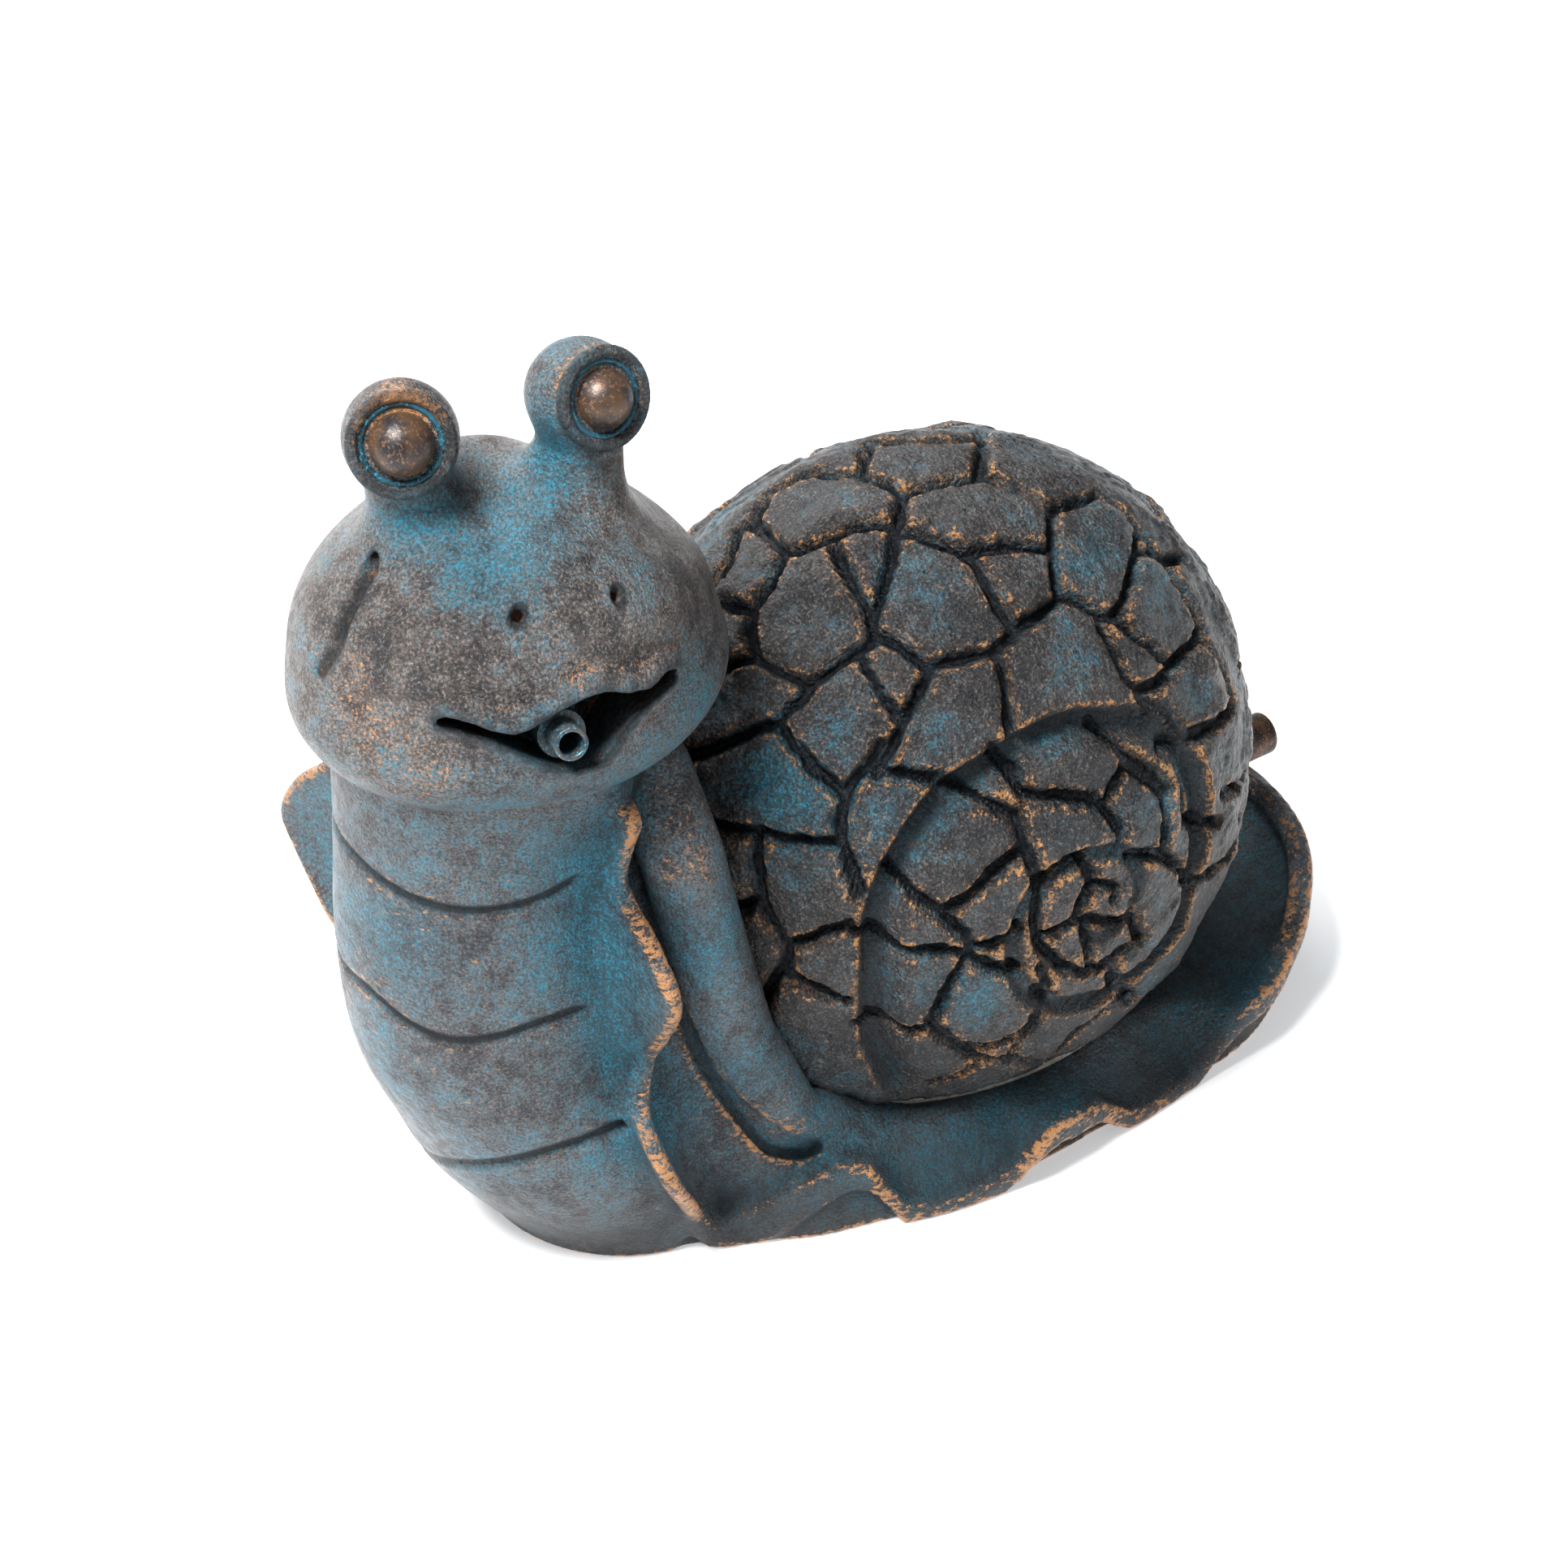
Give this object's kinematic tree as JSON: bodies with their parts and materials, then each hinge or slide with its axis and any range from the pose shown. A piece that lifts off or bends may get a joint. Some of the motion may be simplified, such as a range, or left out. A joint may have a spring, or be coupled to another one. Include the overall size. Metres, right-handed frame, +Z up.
{
  "type": "snail figurine",
  "caption": "Cast garden snail with a tiled shell, turned smiling head on a tall neck, and a push-in water spout in the mouth fed from the back.",
  "frame": {"origin": "middle of the object's box, on the ground under it", "axes": "+Z up; the tail and the rear inlet point along +Y, the chest along -Y; the head is turned to look along +X"},
  "size_m": [0.23, 0.4361, 0.373],
  "materials": {
    "cast_body": "bronze paint with verdigris and copper-rubbed edges",
    "cast_shell": "rough tiled relief, blue-grey bronze paint",
    "mortar": "rough, painted over",
    "eye": "smooth copper-bronze glaze",
    "spout_brass": "aged, partly painted",
    "seal_rubber": "matte",
    "hose_plastic": "matte",
    "clip_steel": "satin"
  },
  "bodies": {
    "figure": {"body_casting": "cast_body", "shell_casting": "cast_shell", "head_casting": "cast_body", "shell_mortar_bed": "mortar", "neck_mortar_bed": "mortar", "eye_left": "eye", "eye_right": "eye", "spout_sleeve": "spout_brass", "spout_seal": "seal_rubber", "spout_washer": "seal_rubber", "spout_nut": "spout_brass", "inlet_pipe": "spout_brass", "inlet_washer": "seal_rubber", "inlet_nut": "spout_brass", "feed_hose": "hose_plastic", "hose_clips": "clip_steel"},
    "nozzle": {"spout_nozzle": "spout_brass"}
  },
  "joints": [
    {"name": "nozzle_pull", "type": "slide", "parent": "figure", "child": "nozzle", "axis": [0.9372, -0.2337, 0.2588], "range_m": [0, 0.015]}
  ]
}
